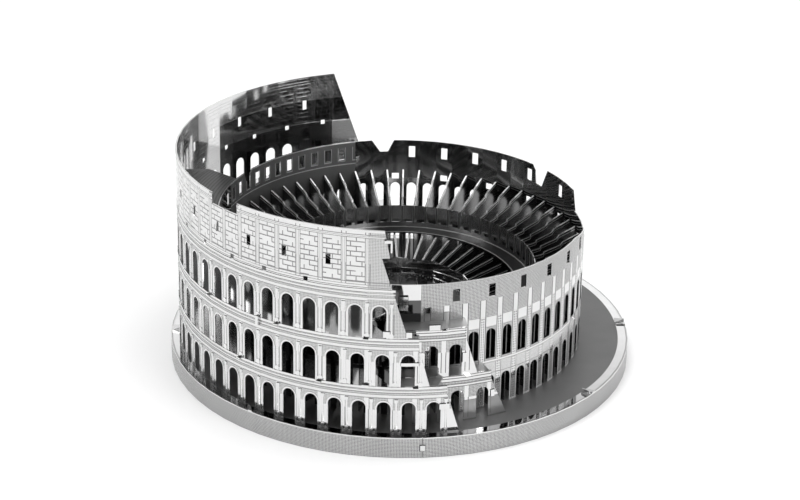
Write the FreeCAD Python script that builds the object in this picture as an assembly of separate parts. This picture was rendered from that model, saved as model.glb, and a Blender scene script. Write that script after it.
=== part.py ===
import FreeCAD, Part
import math
import os

# Folded sheet-metal model of an oval amphitheatre. Millimetres, +Z up, origin on
# the table under the middle of the oval. X is the short axis of the plan, Y the
# long one, and the broken front faces -Y. An inset is a distance inward from the
# outline of the skirt, measured along both half-axes; angles are the parameter
# of the ellipse in degrees, counted from +X towards +Y.

# --- plan and sheet
HALF_WIDTH = 57.0            # half of the short axis, over the skirt
HALF_DEPTH = 63.84           # half of the long axis, over the skirt
SHEET = 0.25                 # thickness of every sheet
BAYS = 64                    # bays in a full turn of arcade
BAY = 360.0 / BAYS

# --- plinth
PLINTH_TOP = 4.95            # top face of the base plate
SKIRT_GAP = 0.12             # play between base plate and skirt
SKIRT_BREAKS = (5, 27, 49, 69)   # facets where the three skirt strips meet
SKIRT_JOINT = 0.15           # gap at a butt joint
SKIRT_TABS = (68.0, 128.0, 184.5, 236.0, 322.0, 364.2)
TAB_WIDTH = 1.2
TAB_LENGTH = 2.2

# --- levels of the arcades
STOREY = 11.6                # floor to floor
FIRST_STEP = 0.15             # the ground storey is this much lower than the others
FLOOR_2 = PLINTH_TOP + STOREY - FIRST_STEP
FLOOR_3 = FLOOR_2 + STOREY
ATTIC_FOOT = FLOOR_3 + STOREY
ARCH_RISE = 7.65             # floor to crown
ATTIC = 13.7                 # attic of the outer wall
OUTER_TOP = ATTIC_FOOT + ATTIC
INNER_ATTIC = 8.9            # inner wall over the third floor
INNER_TOP = FLOOR_3 + INNER_ATTIC
OVER = 5.0                   # how far a cutter runs past a rim

# --- outer wall
OUTER_INSET = 2.2
OUTER_ARCH = 3.1
OUTER_PHASE = 265.3          # middle of the bay the lattice is set out from
OUTER_FIRST = -31            # lattice line at the back end
OUTER_LAST = 3               # lattice line at the front end
OUTER_SPLITS = (-18, -6)     # butt joints between the three sheets
ATTIC_WINDOW = (1.15, 2.5)   # width and height
ATTIC_WINDOW_SILL = ATTIC_FOOT + 4.8
ATTIC_HOLE = 1.15            # square hole near the foot of the attic
ATTIC_HOLE_SILL = ATTIC_FOOT
ATTIC_FIRST = -28            # bays that have a window or a hole in the attic
ATTIC_LAST = -3
ATTIC_DRIFT = -0.9           # windows of the front sheet stand left of their bays
FRONT_ARCHES = (1, 0, -1)    # last bay with an arch: ground, second, third storey
BACK_ARCHES = (OUTER_FIRST, OUTER_FIRST, -26)    # first bay with an arch, storey by storey
# the front sheet is fanned out to the right: shift per bay, and the bay it starts from
FAN_GROUND = (0.22, -6.5)
FAN_SECOND = (0.28, -4.0)
RIM_STEP = (9.6, 2.6)        # width and depth of the low place in the rim
RIM_STEP_AT = (-9, -7)       # lattice lines it lies between
BREAK_REACH = 0.63           # share of the half depth out of which the ends are cut

# --- middle wall
OUTER_GALLERY = 4.9          # outer wall to middle wall
MIDDLE_INSET = OUTER_INSET + OUTER_GALLERY
MIDDLE_START = 268.7
MIDDLE_BAY = 6.4
MIDDLE_BAYS = 5
MIDDLE_ARCH = 3.0
MIDDLE_UPPER = 3             # bays with an arch in the upper storey
MIDDLE_FAN = (0.55, 0.8)     # shift of the ground arches: per bay, and the bay it starts from

# --- inner wall
INNER_GALLERY = 4.9          # middle wall to inner wall
INNER_INSET = MIDDLE_INSET + INNER_GALLERY
INNER_ARCH = 2.55
SILL = 0.5                   # step under the upper arches
SHORT_BAY = 0.7              # share of a bay under which a facet stays blank
INNER_SEAM_FRONT = 276.0
INNER_SEAM_RIGHT = 351.04
INNER_SEAM_BACK = 106.39
RIGHT_FIRST = 277.91         # first whole lattice line of the right sheet
BACK_FIRST = -6.11           # first whole lattice line of the back sheet
BACK_BAYS = 20
BACK_WINDOWS = (6, 9, 11, 13, 15, 17)
LEFT_FIRST = 108.74          # first whole lattice line of the left run
LEFT_BAYS = 33
LEFT_SPLITS = (12, 22)       # butt joints in the left run
LEFT_WINDOWS = 12            # bays with an attic window, counted from the back
INNER_WINDOW = (1.7, 3.1)
INNER_WINDOW_SILL = FLOOR_3 + 4.2
VENT = (1.9, 1.6)            # small lights over the back arches
VENT_SILL = FLOOR_3 - 2.0
BACK_RISE = 0.7              # extra height of the arches in the back sheet
LOW_RIM = FLOOR_3 + 4.0      # top of the inner wall where it is broken down
CHIP_ANGLE = 152.2           # small chip in the rim at the left
GASH_ANGLE = 38.0            # deep break in the rim at the right

# --- seating ribs and walkway
RIB_CLEAR = 0.12             # rib to inner wall
RIB_PHASE = 89.6
RIB_TOP = FLOOR_3 + 0.7
RIB_LENGTH = 10.85           # body of a rib, as far as the podium wall
RIB_NOSE = 0.75              # what reaches through the podium wall
RIB_STEPS = ((0.0, 0.0), (4.1, 2.1), (4.7, 3.0), (8.7, 4.8), (8.9, 5.4))   # reach and drop
RIB_DROP = 6.2               # drop of the top edge at the nose
WALK_PLAY = 0.1              # rib body to walkway
WALK_WIDTH = 4.5
WALK_TOP = FLOOR_2
WALK_SPLITS = (0, 16, 32, 48, 64)
PODIUM_SET = 0.1             # podium wall in from the edge of the walkway
PODIUM_RISE = 6.0
SLOT_FOOT = 1.2              # podium wall left whole under its slots
SLOT_PLAY = 0.08             # each side of a rib in its slot
DOOR = (1.9, 0.8)
DOOR_SILL = 1.4              # over the walkway

# --- lower ribs, arena and cells
LOWER_RIBS = 48
LOWER_PHASE = 93.3
LOWER_SET = 0.68             # outer end of a lower rib in from the edge of the walkway
LOWER_LEDGE = 0.38           # bearing past the walkway
LOWER_LENGTH = 13.4
LOWER_DROPS = (0.5, 3.7)     # top edge under the walkway: at the ledge and at the inner end
ARENA_GAP = 0.25             # lower rib to arena wall
ARENA_DROP = 3.2             # rim of the arena wall under the walkway
ARENA_DIP = 0.6
SCALLOP = 4                  # bays in one dip of the rim
CELL_GAP = 1.7               # arena wall to cell ring
CELL_DROP = 3.6
CELL_HOLE = 0.6
CELL_HOLE_DROP = 1.2
CELL_WALLS = (-8.4, -4.2, 0.0, 4.2, 8.4)
CELL_WALL_DROP = 0.6         # cell walls under the top of the cell ring
CELL_PLAY = 0.9
CELL_DOOR = (1.6, 2.1)
CELL_DOOR_PITCH = 5.0

# --- folded tabs
TAB_REACH = 0.9

V = FreeCAD.Vector
os.makedirs("parts", exist_ok=True)


def save(name, shape):
    """Write one node; a list of solids goes out as one compound."""
    if isinstance(shape, list):
        shape = Part.Compound(shape)
    shape.exportStep("parts/" + name + ".step")


def on_oval(inset, angle, z=0.0):
    """Point on the oval that lies the given inset inside the outline."""
    t = math.radians(angle)
    return V((HALF_WIDTH - inset) * math.cos(t), (HALF_DEPTH - inset) * math.sin(t), z)


def outward(inset, angle):
    """Unit normal of that oval, pointing out of the bowl."""
    t = math.radians(angle)
    n = V((HALF_DEPTH - inset) * math.cos(t), (HALF_WIDTH - inset) * math.sin(t), 0)
    return n.normalize()


def face_of(points):
    return Part.Face(Part.makePolygon(list(points) + [points[0]]))


def ring(outer_lines, inner_lines, outer_inset, inner_inset, z0, z1):
    """Faceted strip between two ovals; the lattice lines give its corners."""
    pts = [on_oval(outer_inset, a, z0) for a in outer_lines]
    pts += [on_oval(inner_inset, a, z0) for a in reversed(inner_lines)]
    return face_of(pts).extrude(V(0, 0, z1 - z0))


def wall(lines, inset, z0, z1):
    """Upright sheet whose outer face stands at the inset."""
    return ring(lines, lines, inset, inset + SHEET, z0, z1)


def closed_ring(count, phase, outer_inset, inner_inset, z0, z1):
    """Full faceted ring."""
    lines = [phase + 360.0 * k / count for k in range(count)]
    outer = face_of([on_oval(outer_inset, a, z0) for a in lines])
    inner = face_of([on_oval(inner_inset, a, z0) for a in lines])
    return outer.cut(inner).extrude(V(0, 0, z1 - z0))


def upright(origin, along, outline, reach, through):
    """Prism with an outline of (distance along, height), pushed through a sheet."""
    pts = [origin + along * u + V(0, 0, v) - through * reach for u, v in outline]
    return face_of(pts).extrude(through * (2 * reach))


def bay_frame(inset, a, b):
    """Middle, direction and normal of the facet between two lattice lines."""
    p, q = on_oval(inset, a), on_oval(inset, b)
    along = (q - p).normalize()
    return (p + q) * 0.5, along, V(along.y, -along.x, 0)


def opening(inset, a, b, width, sill, height, arched=False, shift=0.0, reach=1.0):
    """Cutter for a window, or an arch with a round head, in the middle of a bay."""
    mid, along, normal = bay_frame(inset, a, b)
    mid = mid + along * shift
    half = width / 2
    if not arched:
        box = [(-half, sill), (half, sill), (half, sill + height), (-half, sill + height)]
        return upright(mid, along, box, reach, normal)
    spring = sill + height - half
    corners = [mid + along * u + V(0, 0, v) for u, v in
               ((-half, spring), (-half, sill), (half, sill), (half, spring))]
    crown = mid + V(0, 0, sill + height)
    edges = [Part.makeLine(corners[k], corners[k + 1]) for k in range(3)]
    edges.append(Part.Arc(corners[3], crown, corners[0]).toShape())
    face = Part.Face(Part.Wire(edges))
    face.translate(normal * -reach)
    return face.extrude(normal * (2 * reach))


def pierce(shape, cutters):
    """Cut all openings in one go and keep the single solid."""
    result = shape.cut(cutters)
    solids = sorted(result.Solids, key=lambda s: s.Volume)
    return solids[-1]


def side_cut(points, y0, y1):
    """Cutter with an outline of (x, z), pushed along Y."""
    return face_of([V(x, y0, z) for x, z in points]).extrude(V(0, y1 - y0, 0))


# --- lattices: angles of the fold lines
outer_line = {k: OUTER_PHASE + BAY / 2 + BAY * k for k in range(OUTER_FIRST, OUTER_LAST + 1)}
middle_lines = [MIDDLE_START + MIDDLE_BAY * k for k in range(MIDDLE_BAYS + 1)]
right_lines = [INNER_SEAM_FRONT] + [RIGHT_FIRST + BAY * k for k in range(14)]
right_lines[-1] = INNER_SEAM_RIGHT
back_lines = [INNER_SEAM_RIGHT - 360.0] + [BACK_FIRST + BAY * k for k in range(BACK_BAYS + 1)]
back_lines[-1] = INNER_SEAM_BACK
left_pitch = (INNER_SEAM_FRONT - LEFT_FIRST) / LEFT_BAYS
left_lines = [INNER_SEAM_BACK] + [LEFT_FIRST + left_pitch * k for k in range(LEFT_BAYS + 1)]
full_lines = [BAY * k for k in range(2 * BAYS)]


def outer_run(first, last):
    return [outer_line[k] for k in range(first, last + 1)]


# --- plinth: base plate with tab slots, skirt in three strips
plate_inset = SHEET + SKIRT_GAP
plate_base = PLINTH_TOP - SHEET
plate = face_of([on_oval(plate_inset, a, plate_base) for a in full_lines[:BAYS]])
plate = plate.extrude(V(0, 0, SHEET))
skirt_solids = []
for first, last in zip(SKIRT_BREAKS, SKIRT_BREAKS[1:]):
    band = wall(full_lines[first:last + 1], 0.0, 0.0, PLINTH_TOP)
    end = on_oval(0, full_lines[last])
    out = outward(0, full_lines[last])
    side = V(-out.y, out.x, 0)
    gap = [(-SKIRT_JOINT, -1), (SKIRT_JOINT, -1), (SKIRT_JOINT, 9), (-SKIRT_JOINT, 9)]
    band = band.cut(upright(end, side, gap, 2.0, out))
    for angle in SKIRT_TABS:
        if not full_lines[first] < angle < full_lines[last]:
            continue
        k = int(angle // BAY)
        mid, along, normal = bay_frame(0.0, full_lines[k], full_lines[k + 1])
        half = TAB_WIDTH / 2
        riser = [(-half, PLINTH_TOP - 1), (half, PLINTH_TOP - 1),
                 (half, PLINTH_TOP + SHEET), (-half, PLINTH_TOP + SHEET)]
        inside = mid - normal * (SHEET / 2)
        band = band.fuse(upright(inside, along, riser, SHEET / 2, normal))
        fold = [(-half, PLINTH_TOP), (half, PLINTH_TOP),
                (half, PLINTH_TOP + SHEET), (-half, PLINTH_TOP + SHEET)]
        over = mid - normal * (TAB_LENGTH / 2)
        band = band.fuse(upright(over, along, fold, TAB_LENGTH / 2, normal))
    skirt_solids.append(band.removeSplitter())
save("base_plate", plate)
for name, band in zip(("skirt_back", "skirt_left", "skirt_front"), skirt_solids):
    save(name, band.Solids[0])


# --- outer wall: three storeys of arches under a tall attic
past = HALF_WIDTH * 0.7
deep = HALF_DEPTH * BREAK_REACH
front_break = [(-3.5, OUTER_TOP + OVER), (-3.5, OUTER_TOP), (-2.3, ATTIC_FOOT + 7.4),
               (-4.1, ATTIC_FOOT + 7.3), (1.9, FLOOR_3), (4.3, FLOOR_3), (4.4, FLOOR_3 - 2.4),
               (6.9, FLOOR_2), (10.8, FLOOR_2), (10.9, FLOOR_2 - 2.0), (13.7, PLINTH_TOP),
               (13.7, 0.0), (past, 0.0), (past, OUTER_TOP + OVER)]
back_break = [(-18.9, OUTER_TOP + OVER), (-18.7, OUTER_TOP), (-12.2, FLOOR_3 + 6.0),
              (-10.2, FLOOR_3), (-7.6, FLOOR_3), (-4.6, FLOOR_2), (-1.6, FLOOR_2),
              (1.6, PLINTH_TOP), (1.6, 0.0), (past, 0.0), (past, OUTER_TOP + OVER)]
outer_marks = (OUTER_FIRST,) + OUTER_SPLITS + (OUTER_LAST,)


def fan(rule, k):
    """Sideways shift of an arch in bay k."""
    step, start = rule
    return max(0.0, step * (k - start))


outer_cutters = {}
for k in range(OUTER_FIRST, OUTER_LAST):
    a, b = outer_line[k], outer_line[k + 1]
    cut = []
    storeys = ((PLINTH_TOP - 1, ARCH_RISE + 1, fan(FAN_GROUND, k)),
               (FLOOR_2, ARCH_RISE, fan(FAN_SECOND, k)),
               (FLOOR_3, ARCH_RISE, 0.0))
    for (sill, height, shift), first, last in zip(storeys, BACK_ARCHES, FRONT_ARCHES):
        if first <= k <= last:
            cut.append(opening(OUTER_INSET, a, b, OUTER_ARCH, sill, height, True, shift))
    drift = ATTIC_DRIFT if k >= outer_marks[-2] else 0.0
    if ATTIC_FIRST <= k <= ATTIC_LAST and k % 2:
        cut.append(opening(OUTER_INSET, a, b, ATTIC_WINDOW[0], ATTIC_WINDOW_SILL, ATTIC_WINDOW[1],
                           shift=drift))
    elif ATTIC_FIRST <= k <= ATTIC_LAST:
        cut.append(opening(OUTER_INSET, a, b, ATTIC_HOLE, ATTIC_HOLE_SILL, ATTIC_HOLE,
                           shift=drift))
    outer_cutters[k] = cut
for name, first, last in zip(("back", "side", "front"), outer_marks, outer_marks[1:]):
    sheet = wall(outer_run(first, last), OUTER_INSET, PLINTH_TOP, OUTER_TOP)
    cutters = [c for k in range(first, last) for c in outer_cutters[k]]
    if name == "front":
        cutters.append(side_cut(front_break, -HALF_DEPTH, -deep))
    if name == "back":
        cutters.append(side_cut(back_break, deep, HALF_DEPTH))
    if name == "side":
        a, b = (outer_line[k] for k in RIM_STEP_AT)
        cutters.append(opening(OUTER_INSET, a, b, RIM_STEP[0], OUTER_TOP - RIM_STEP[1], OVER))
    save("outer_wall_" + name, pierce(sheet, cutters))

# --- middle wall: two storeys, stepped back at its right end
middle_break = [(14.7, FLOOR_3 + OVER), (14.7, FLOOR_3 - 1.8), (17.7, FLOOR_2), (20.9, FLOOR_2),
                (21.0, FLOOR_2 - 2.2), (24.7, PLINTH_TOP), (24.7, 0.0), (past, 0.0),
                (past, FLOOR_3 + OVER)]
sheet = wall(middle_lines, MIDDLE_INSET, PLINTH_TOP, FLOOR_3)
cutters = [side_cut(middle_break, -HALF_DEPTH, -deep / 2)]
for k, (a, b) in enumerate(zip(middle_lines, middle_lines[1:])):
    if k < MIDDLE_BAYS - 1:
        cutters.append(opening(MIDDLE_INSET, a, b, MIDDLE_ARCH, PLINTH_TOP - 1, ARCH_RISE + 1, True,
                               fan(MIDDLE_FAN, k)))
    if k < MIDDLE_UPPER:
        cutters.append(opening(MIDDLE_INSET, a, b, MIDDLE_ARCH, FLOOR_2, ARCH_RISE, True))
save("middle_wall", pierce(sheet, cutters))


# --- inner wall: two storeys of arches and a plain attic, in five sheets
def inner_sheet(lines, top, windows, vents=0, rise=0.0):
    """One sheet of the inner wall with its arches, windows and small lights."""
    sheet = wall(lines, INNER_INSET, PLINTH_TOP, top)
    cutters = []
    for k, (a, b) in enumerate(zip(lines, lines[1:])):
        if b - a < BAY * SHORT_BAY:
            continue
        cutters.append(opening(INNER_INSET, a, b, INNER_ARCH, PLINTH_TOP - 1, ARCH_RISE + 1, True))
        cutters.append(opening(INNER_INSET, a, b, INNER_ARCH, FLOOR_2 + SILL, ARCH_RISE - 0.3 + rise,
                               True))
        if k in windows:
            cutters.append(opening(INNER_INSET, a, b, INNER_WINDOW[0], INNER_WINDOW_SILL,
                                   INNER_WINDOW[1]))
        if vents and k % vents == 0:
            cutters.append(opening(INNER_INSET, a, b, VENT[0], VENT_SILL, VENT[1]))
    return sheet, cutters


fallen_from = HALF_WIDTH - INNER_INSET - 10.0
fallen_rim = [(13.9, INNER_TOP + OVER), (13.9, INNER_TOP), (11.6, LOW_RIM), (-8.05, LOW_RIM),
              (-8.05, LOW_RIM + 2.6), (-20.0, INNER_TOP), (-20.0, INNER_TOP + OVER)]
fallen = face_of([V(fallen_from, y, z) for y, z in fallen_rim]).extrude(V(20, 0, 0))
sheet, cutters = inner_sheet(right_lines, INNER_TOP, range(2, 14, 2))
cutters.append(fallen)
save("inner_wall_right", pierce(sheet, cutters))
sheet, cutters = inner_sheet(back_lines, INNER_TOP, BACK_WINDOWS, 3, BACK_RISE)
notch = [(-8.2, INNER_TOP + OVER), (-8.2, INNER_TOP), (-6.0, INNER_TOP - 3.2),
         (-3.9, INNER_TOP - 3.2), (-2.3, INNER_TOP), (-2.3, INNER_TOP + OVER)]
cutters.append(side_cut(notch, deep, HALF_DEPTH))
gash_at = on_oval(INNER_INSET, GASH_ANGLE)
gash_out = outward(INNER_INSET, GASH_ANGLE)
gash = [(-4.3, INNER_TOP + OVER), (-4.3, INNER_TOP), (-1.9, INNER_TOP - 5.1),
        (0.5, INNER_TOP - 4.9), (0.9, INNER_TOP - 1.7), (2.3, INNER_TOP), (2.3, INNER_TOP + OVER)]
cutters.append(upright(gash_at, V(-gash_out.y, gash_out.x, 0), gash, 2.0, gash_out))
cutters.append(fallen)
save("inner_wall_back", pierce(sheet, cutters))
chip_at = on_oval(INNER_INSET, CHIP_ANGLE)
chip_out = outward(INNER_INSET, CHIP_ANGLE)
chip = [(-2.2, INNER_TOP + OVER), (-2.2, INNER_TOP), (0.2, INNER_TOP - 2.8),
        (0.9, INNER_TOP - 2.4), (2.0, INNER_TOP), (2.0, INNER_TOP + OVER)]
left_marks = (0,) + LEFT_SPLITS + (LEFT_BAYS + 1,)
for name, first, last in zip(("back_left", "left", "front_left"), left_marks, left_marks[1:]):
    windows = range(1, LEFT_WINDOWS) if first == 0 else range(0, LEFT_BAYS, 2)
    sheet, cutters = inner_sheet(left_lines[first:last + 1], INNER_TOP, windows)
    if name == "back_left":
        cutters.append(upright(chip_at, V(-chip_out.y, chip_out.x, 0), chip, 2.0, chip_out))
    save("inner_wall_" + name, pierce(sheet, cutters))

# --- gallery floors, terraces and roof between the walls
inner_left = [a for a in back_lines if 90.0 < a < INNER_SEAM_BACK] + left_lines
outer_face = OUTER_INSET + SHEET
middle_face = MIDDLE_INSET + SHEET
inner_front = left_lines[-3:-1] + right_lines


def between(lines, low, high):
    return [a for a in lines if low <= a <= high]


second = ring(outer_run(OUTER_FIRST, 0), between(inner_left, 94.0, 265.0),
              outer_face, INNER_INSET, FLOOR_2 - SHEET, FLOOR_2)
save("gallery_floor_second", second)
third = ring(outer_run(OUTER_FIRST + 2, 0), between(inner_left, 106.0, 265.0),
             outer_face, INNER_INSET, FLOOR_3 - SHEET, FLOOR_3)
save("gallery_floor_third", third)
roof = ring(outer_run(-20, -5), between(left_lines, 159.0, 242.0),
            outer_face, INNER_INSET, INNER_TOP - SHEET, INNER_TOP)
save("gallery_roof", roof)
ledge = ring(outer_run(0, 2), middle_lines[:3], outer_face, MIDDLE_INSET,
             FLOOR_2 - SHEET, FLOOR_2)
save("terrace_outer", ledge)
lower = ring(middle_lines[:-1], between(inner_front, 264.0, 295.0), middle_face, INNER_INSET,
             FLOOR_2 - SHEET, FLOOR_2)
save("terrace_lower", lower)
upper = ring(middle_lines[:4], between(inner_front, 264.0, 290.0), middle_face, INNER_INSET,
             FLOOR_3 - SHEET, FLOOR_3)
save("terrace_upper", upper)


# --- seating ribs: plates that stand square to the walls
def rib(inset, angle, outline):
    """Upright plate running inward from an oval."""
    inwards = outward(inset, angle) * -1
    side = V(-inwards.y, inwards.x, 0)
    return upright(on_oval(inset, angle), inwards, outline, SHEET / 2, side)


rib_inset = INNER_INSET + SHEET + RIB_CLEAR
nose = RIB_LENGTH + RIB_NOSE
nose_foot = WALK_TOP + SLOT_FOOT + SLOT_PLAY
rib_outline = [(reach, RIB_TOP - drop) for reach, drop in RIB_STEPS]
rib_outline += [(nose, RIB_TOP - RIB_DROP), (nose, nose_foot), (RIB_LENGTH, nose_foot),
                (RIB_LENGTH, PLINTH_TOP), (0.0, PLINTH_TOP)]
upper_ribs = [rib(rib_inset, RIB_PHASE + BAY * k, rib_outline) for k in range(BAYS)]
GROUP = 8
for g in range(BAYS // GROUP):
    save("seat_ribs_%d" % (g + 1), upper_ribs[g * GROUP:(g + 1) * GROUP])
walk_inset = rib_inset + RIB_LENGTH + WALK_PLAY
walk_base = WALK_TOP - SHEET
lower_start = walk_inset + LOWER_SET
bearing = WALK_WIDTH - LOWER_SET + LOWER_LEDGE
lower_outline = [(0.0, walk_base), (bearing, walk_base), (bearing, WALK_TOP - LOWER_DROPS[0]),
                 (LOWER_LENGTH, WALK_TOP - LOWER_DROPS[1]), (LOWER_LENGTH, PLINTH_TOP),
                 (0.0, PLINTH_TOP)]
lower_ribs = [rib(lower_start, LOWER_PHASE + 360.0 / LOWER_RIBS * k, lower_outline)
              for k in range(LOWER_RIBS)]
QUARTER = LOWER_RIBS // 4
for g in range(4):
    save("lower_ribs_%d" % (g + 1), lower_ribs[g * QUARTER:(g + 1) * QUARTER])

# --- walkway and podium wall; the noses of the ribs stand in slots of the wall
walk_in = walk_inset + WALK_WIDTH
podium_inset = walk_inset + PODIUM_SET
podium_top = WALK_TOP + PODIUM_RISE
slot_half = SHEET / 2 + SLOT_PLAY
slot = [(-slot_half, WALK_TOP + SLOT_FOOT), (slot_half, WALK_TOP + SLOT_FOOT),
        (slot_half, podium_top + OVER), (-slot_half, podium_top + OVER)]
for g, (first, last) in enumerate(zip(WALK_SPLITS, WALK_SPLITS[1:])):
    lines = [RIB_PHASE + a for a in full_lines[first:last + 1]]
    save("walkway_%d" % (g + 1), ring(lines, lines, walk_inset, walk_in, walk_base, WALK_TOP))
    sheet = wall(lines, podium_inset, WALK_TOP, podium_top)
    cutters = [opening(podium_inset, a, b, DOOR[0], WALK_TOP + DOOR_SILL, DOOR[1])
               for a, b in zip(lines, lines[1:])]
    for a in lines:
        out = outward(rib_inset, a)
        cutters.append(upright(on_oval(rib_inset, a) - out * RIB_LENGTH, V(-out.y, out.x, 0),
                               slot, 2.0, out))
    save("podium_wall_%d" % (g + 1), pierce(sheet, cutters))

# --- arena: scalloped ring, cell ring and straight cell walls
arena_inset = lower_start + LOWER_LENGTH + ARENA_GAP
arena_top = WALK_TOP - ARENA_DROP
arena_lines = [LOWER_PHASE + 360.0 / LOWER_RIBS * k for k in range(LOWER_RIBS + 1)]
arena = []
for k, (a, b) in enumerate(zip(arena_lines, arena_lines[1:])):
    za = arena_top - ARENA_DIP * math.sin(math.pi * (k % SCALLOP) / SCALLOP)
    zb = arena_top - ARENA_DIP * math.sin(math.pi * ((k % SCALLOP) + 1) / SCALLOP)
    panel = ring([a, b], [a, b], arena_inset, arena_inset + SHEET, PLINTH_TOP, arena_top)
    mid, along, normal = bay_frame(arena_inset, a, b)
    half = (on_oval(arena_inset, b) - on_oval(arena_inset, a)).Length / 2
    slope = (zb - za) / (2 * half)
    top = [(-half - 0.2, za - 0.2 * slope), (half + 0.2, zb + 0.2 * slope),
           (half + 0.2, arena_top + 1), (-half - 0.2, arena_top + 1)]
    arena.append(panel.cut(upright(mid, along, top, 2.0, normal)))
arena_ring = arena[0].multiFuse(arena[1:]).removeSplitter()
save("arena_wall", arena_ring.Solids[0])
cell_inset = arena_inset + SHEET + CELL_GAP
cell_top = arena_top - CELL_DROP
cell = closed_ring(LOWER_RIBS, LOWER_PHASE, cell_inset, cell_inset + SHEET, PLINTH_TOP, cell_top)
cutters = [opening(cell_inset, a, b, CELL_HOLE, cell_top - CELL_HOLE_DROP, CELL_HOLE)
           for a, b in zip(arena_lines, arena_lines[1:])]
save("cell_ring", pierce(cell, cutters))
cell_inside = cell_inset + SHEET + CELL_PLAY
cell_wall_height = cell_top - CELL_WALL_DROP - PLINTH_TOP
cell_walls = []
for x in CELL_WALLS:
    reach = (HALF_DEPTH - cell_inside) * math.sqrt(1 - (x / (HALF_WIDTH - cell_inside)) ** 2)
    body = Part.makeBox(SHEET, 2 * reach, cell_wall_height, V(x - SHEET / 2, -reach, PLINTH_TOP))
    count = int(2 * reach // CELL_DOOR_PITCH)
    pitch = 2 * reach / count
    doors = [Part.makeBox(4 * SHEET, CELL_DOOR[0], 2 * CELL_DOOR[1],
                          V(x - 2 * SHEET, -reach + pitch * (n + 0.5) - CELL_DOOR[0] / 2,
                            PLINTH_TOP - CELL_DOOR[1])) for n in range(count)]
    cell_walls.append(body.cut(doors).Solids[0])
save("cell_walls", cell_walls)


# --- folded tabs that hold the sheets together
def tab(inset, angle, z, width, out):
    """Small tongue that stands off the outer face of a wall."""
    lines = sorted(outer_line.values()) if inset == OUTER_INSET else middle_lines
    index = max(i for i, a in enumerate(lines[:-1]) if a <= angle)
    mid, along, normal = bay_frame(inset, lines[index], lines[index + 1])
    share = (angle - lines[index]) / (lines[index + 1] - lines[index]) - 0.5
    length = (on_oval(inset, lines[index + 1]) - on_oval(inset, lines[index])).Length
    root = mid + along * (share * length) + normal * (out / 2)
    half = width / 2
    box = [(-half, z), (half, z), (half, z + SHEET), (-half, z + SHEET)]
    return upright(root, along, box, out / 2, normal)


wall_tabs = [tab(OUTER_INSET, a, z, TAB_WIDTH, TAB_REACH) for a, z in
             ((262.3, FLOOR_3 - SHEET), (240.0, FLOOR_3 - SHEET), (217.0, FLOOR_3 - SHEET),
              (251.2, FLOOR_2 - SHEET), (228.7, FLOOR_2 - SHEET), (273.9, FLOOR_2 - SHEET))]
wall_tabs += [tab(MIDDLE_INSET, 281.5, FLOOR_3 - SHEET, TAB_WIDTH, TAB_REACH),
              tab(MIDDLE_INSET, 287.9, FLOOR_2 - SHEET, TAB_WIDTH, TAB_REACH)]
save("wall_tabs", wall_tabs)
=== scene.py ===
"""Looks of the folded sheet-steel amphitheatre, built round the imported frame.

Everything is in the frame's axes. Sizes are in millimetres and become metres when a mesh is made.
An inset is a distance inward from the outline of the plinth. Angles are ellipse parameters in
degrees.
"""
import logging
import math
from dataclasses import dataclass, field
from enum import Enum

import bpy
from mathutils import Matrix, Vector


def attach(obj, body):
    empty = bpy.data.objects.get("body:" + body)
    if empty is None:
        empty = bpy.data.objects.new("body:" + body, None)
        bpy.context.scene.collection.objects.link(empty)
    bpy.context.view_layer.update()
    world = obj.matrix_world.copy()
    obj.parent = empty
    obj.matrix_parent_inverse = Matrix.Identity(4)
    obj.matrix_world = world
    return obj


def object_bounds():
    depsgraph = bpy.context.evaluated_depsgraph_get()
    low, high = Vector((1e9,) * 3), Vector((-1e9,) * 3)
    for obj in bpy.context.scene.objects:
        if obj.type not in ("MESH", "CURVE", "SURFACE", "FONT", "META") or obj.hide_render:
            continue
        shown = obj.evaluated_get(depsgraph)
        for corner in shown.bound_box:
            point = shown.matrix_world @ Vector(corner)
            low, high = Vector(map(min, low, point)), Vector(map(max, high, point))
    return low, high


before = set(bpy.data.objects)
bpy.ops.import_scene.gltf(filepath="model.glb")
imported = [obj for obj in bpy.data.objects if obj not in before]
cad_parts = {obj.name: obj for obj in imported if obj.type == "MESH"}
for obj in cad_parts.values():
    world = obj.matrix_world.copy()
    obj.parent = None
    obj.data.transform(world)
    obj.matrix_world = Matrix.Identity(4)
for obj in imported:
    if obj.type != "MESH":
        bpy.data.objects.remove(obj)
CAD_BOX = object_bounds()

logging.basicConfig(level=logging.INFO, format="%(message)s")
LOG = logging.getLogger("amphitheatre")
MM = 0.001
SQUARE_ON = 0.9              # least cosine between a wall's face and the oval's normal
SUNK = 0.03                  # how far raised work is let into its wall, in millimetres
NODES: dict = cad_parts


# --------------------------------------------------------------------------- plan
@dataclass(frozen=True)
class Oval:
    """The plan that every wall follows."""

    half_width: float
    half_depth: float

    def point(self, inset: float, angle: float, z: float = 0.0) -> Vector:
        """Point on the oval at an inset.

        Args:
            inset: distance inward from the plinth outline.
            angle: ellipse parameter in degrees.
            z: height.

        Returns:
            The point, in millimetres.
        """
        t = math.radians(angle)
        return Vector(((self.half_width - inset) * math.cos(t),
                       (self.half_depth - inset) * math.sin(t), z))

    def outward(self, inset: float, angle: float) -> Vector:
        """Unit normal of the oval at an inset, out of the bowl.

        Args:
            inset: distance inward from the plinth outline.
            angle: ellipse parameter in degrees.

        Returns:
            The unit vector.
        """
        t = math.radians(angle)
        return Vector(((self.half_depth - inset) * math.cos(t),
                       (self.half_width - inset) * math.sin(t), 0)).normalized()

    def facet(self, inset: float, a: float, b: float) -> tuple[Vector, Vector, Vector]:
        """Flat facet between two fold lines.

        Args:
            inset: distance inward from the plinth outline.
            a: angle of the first fold line.
            b: angle of the second.

        Returns:
            Its middle, its direction and its outward normal.
        """
        p, q = self.point(inset, a), self.point(inset, b)
        along = (q - p).normalized()
        return (p + q) / 2, along, Vector((along.y, -along.x, 0))


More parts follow.
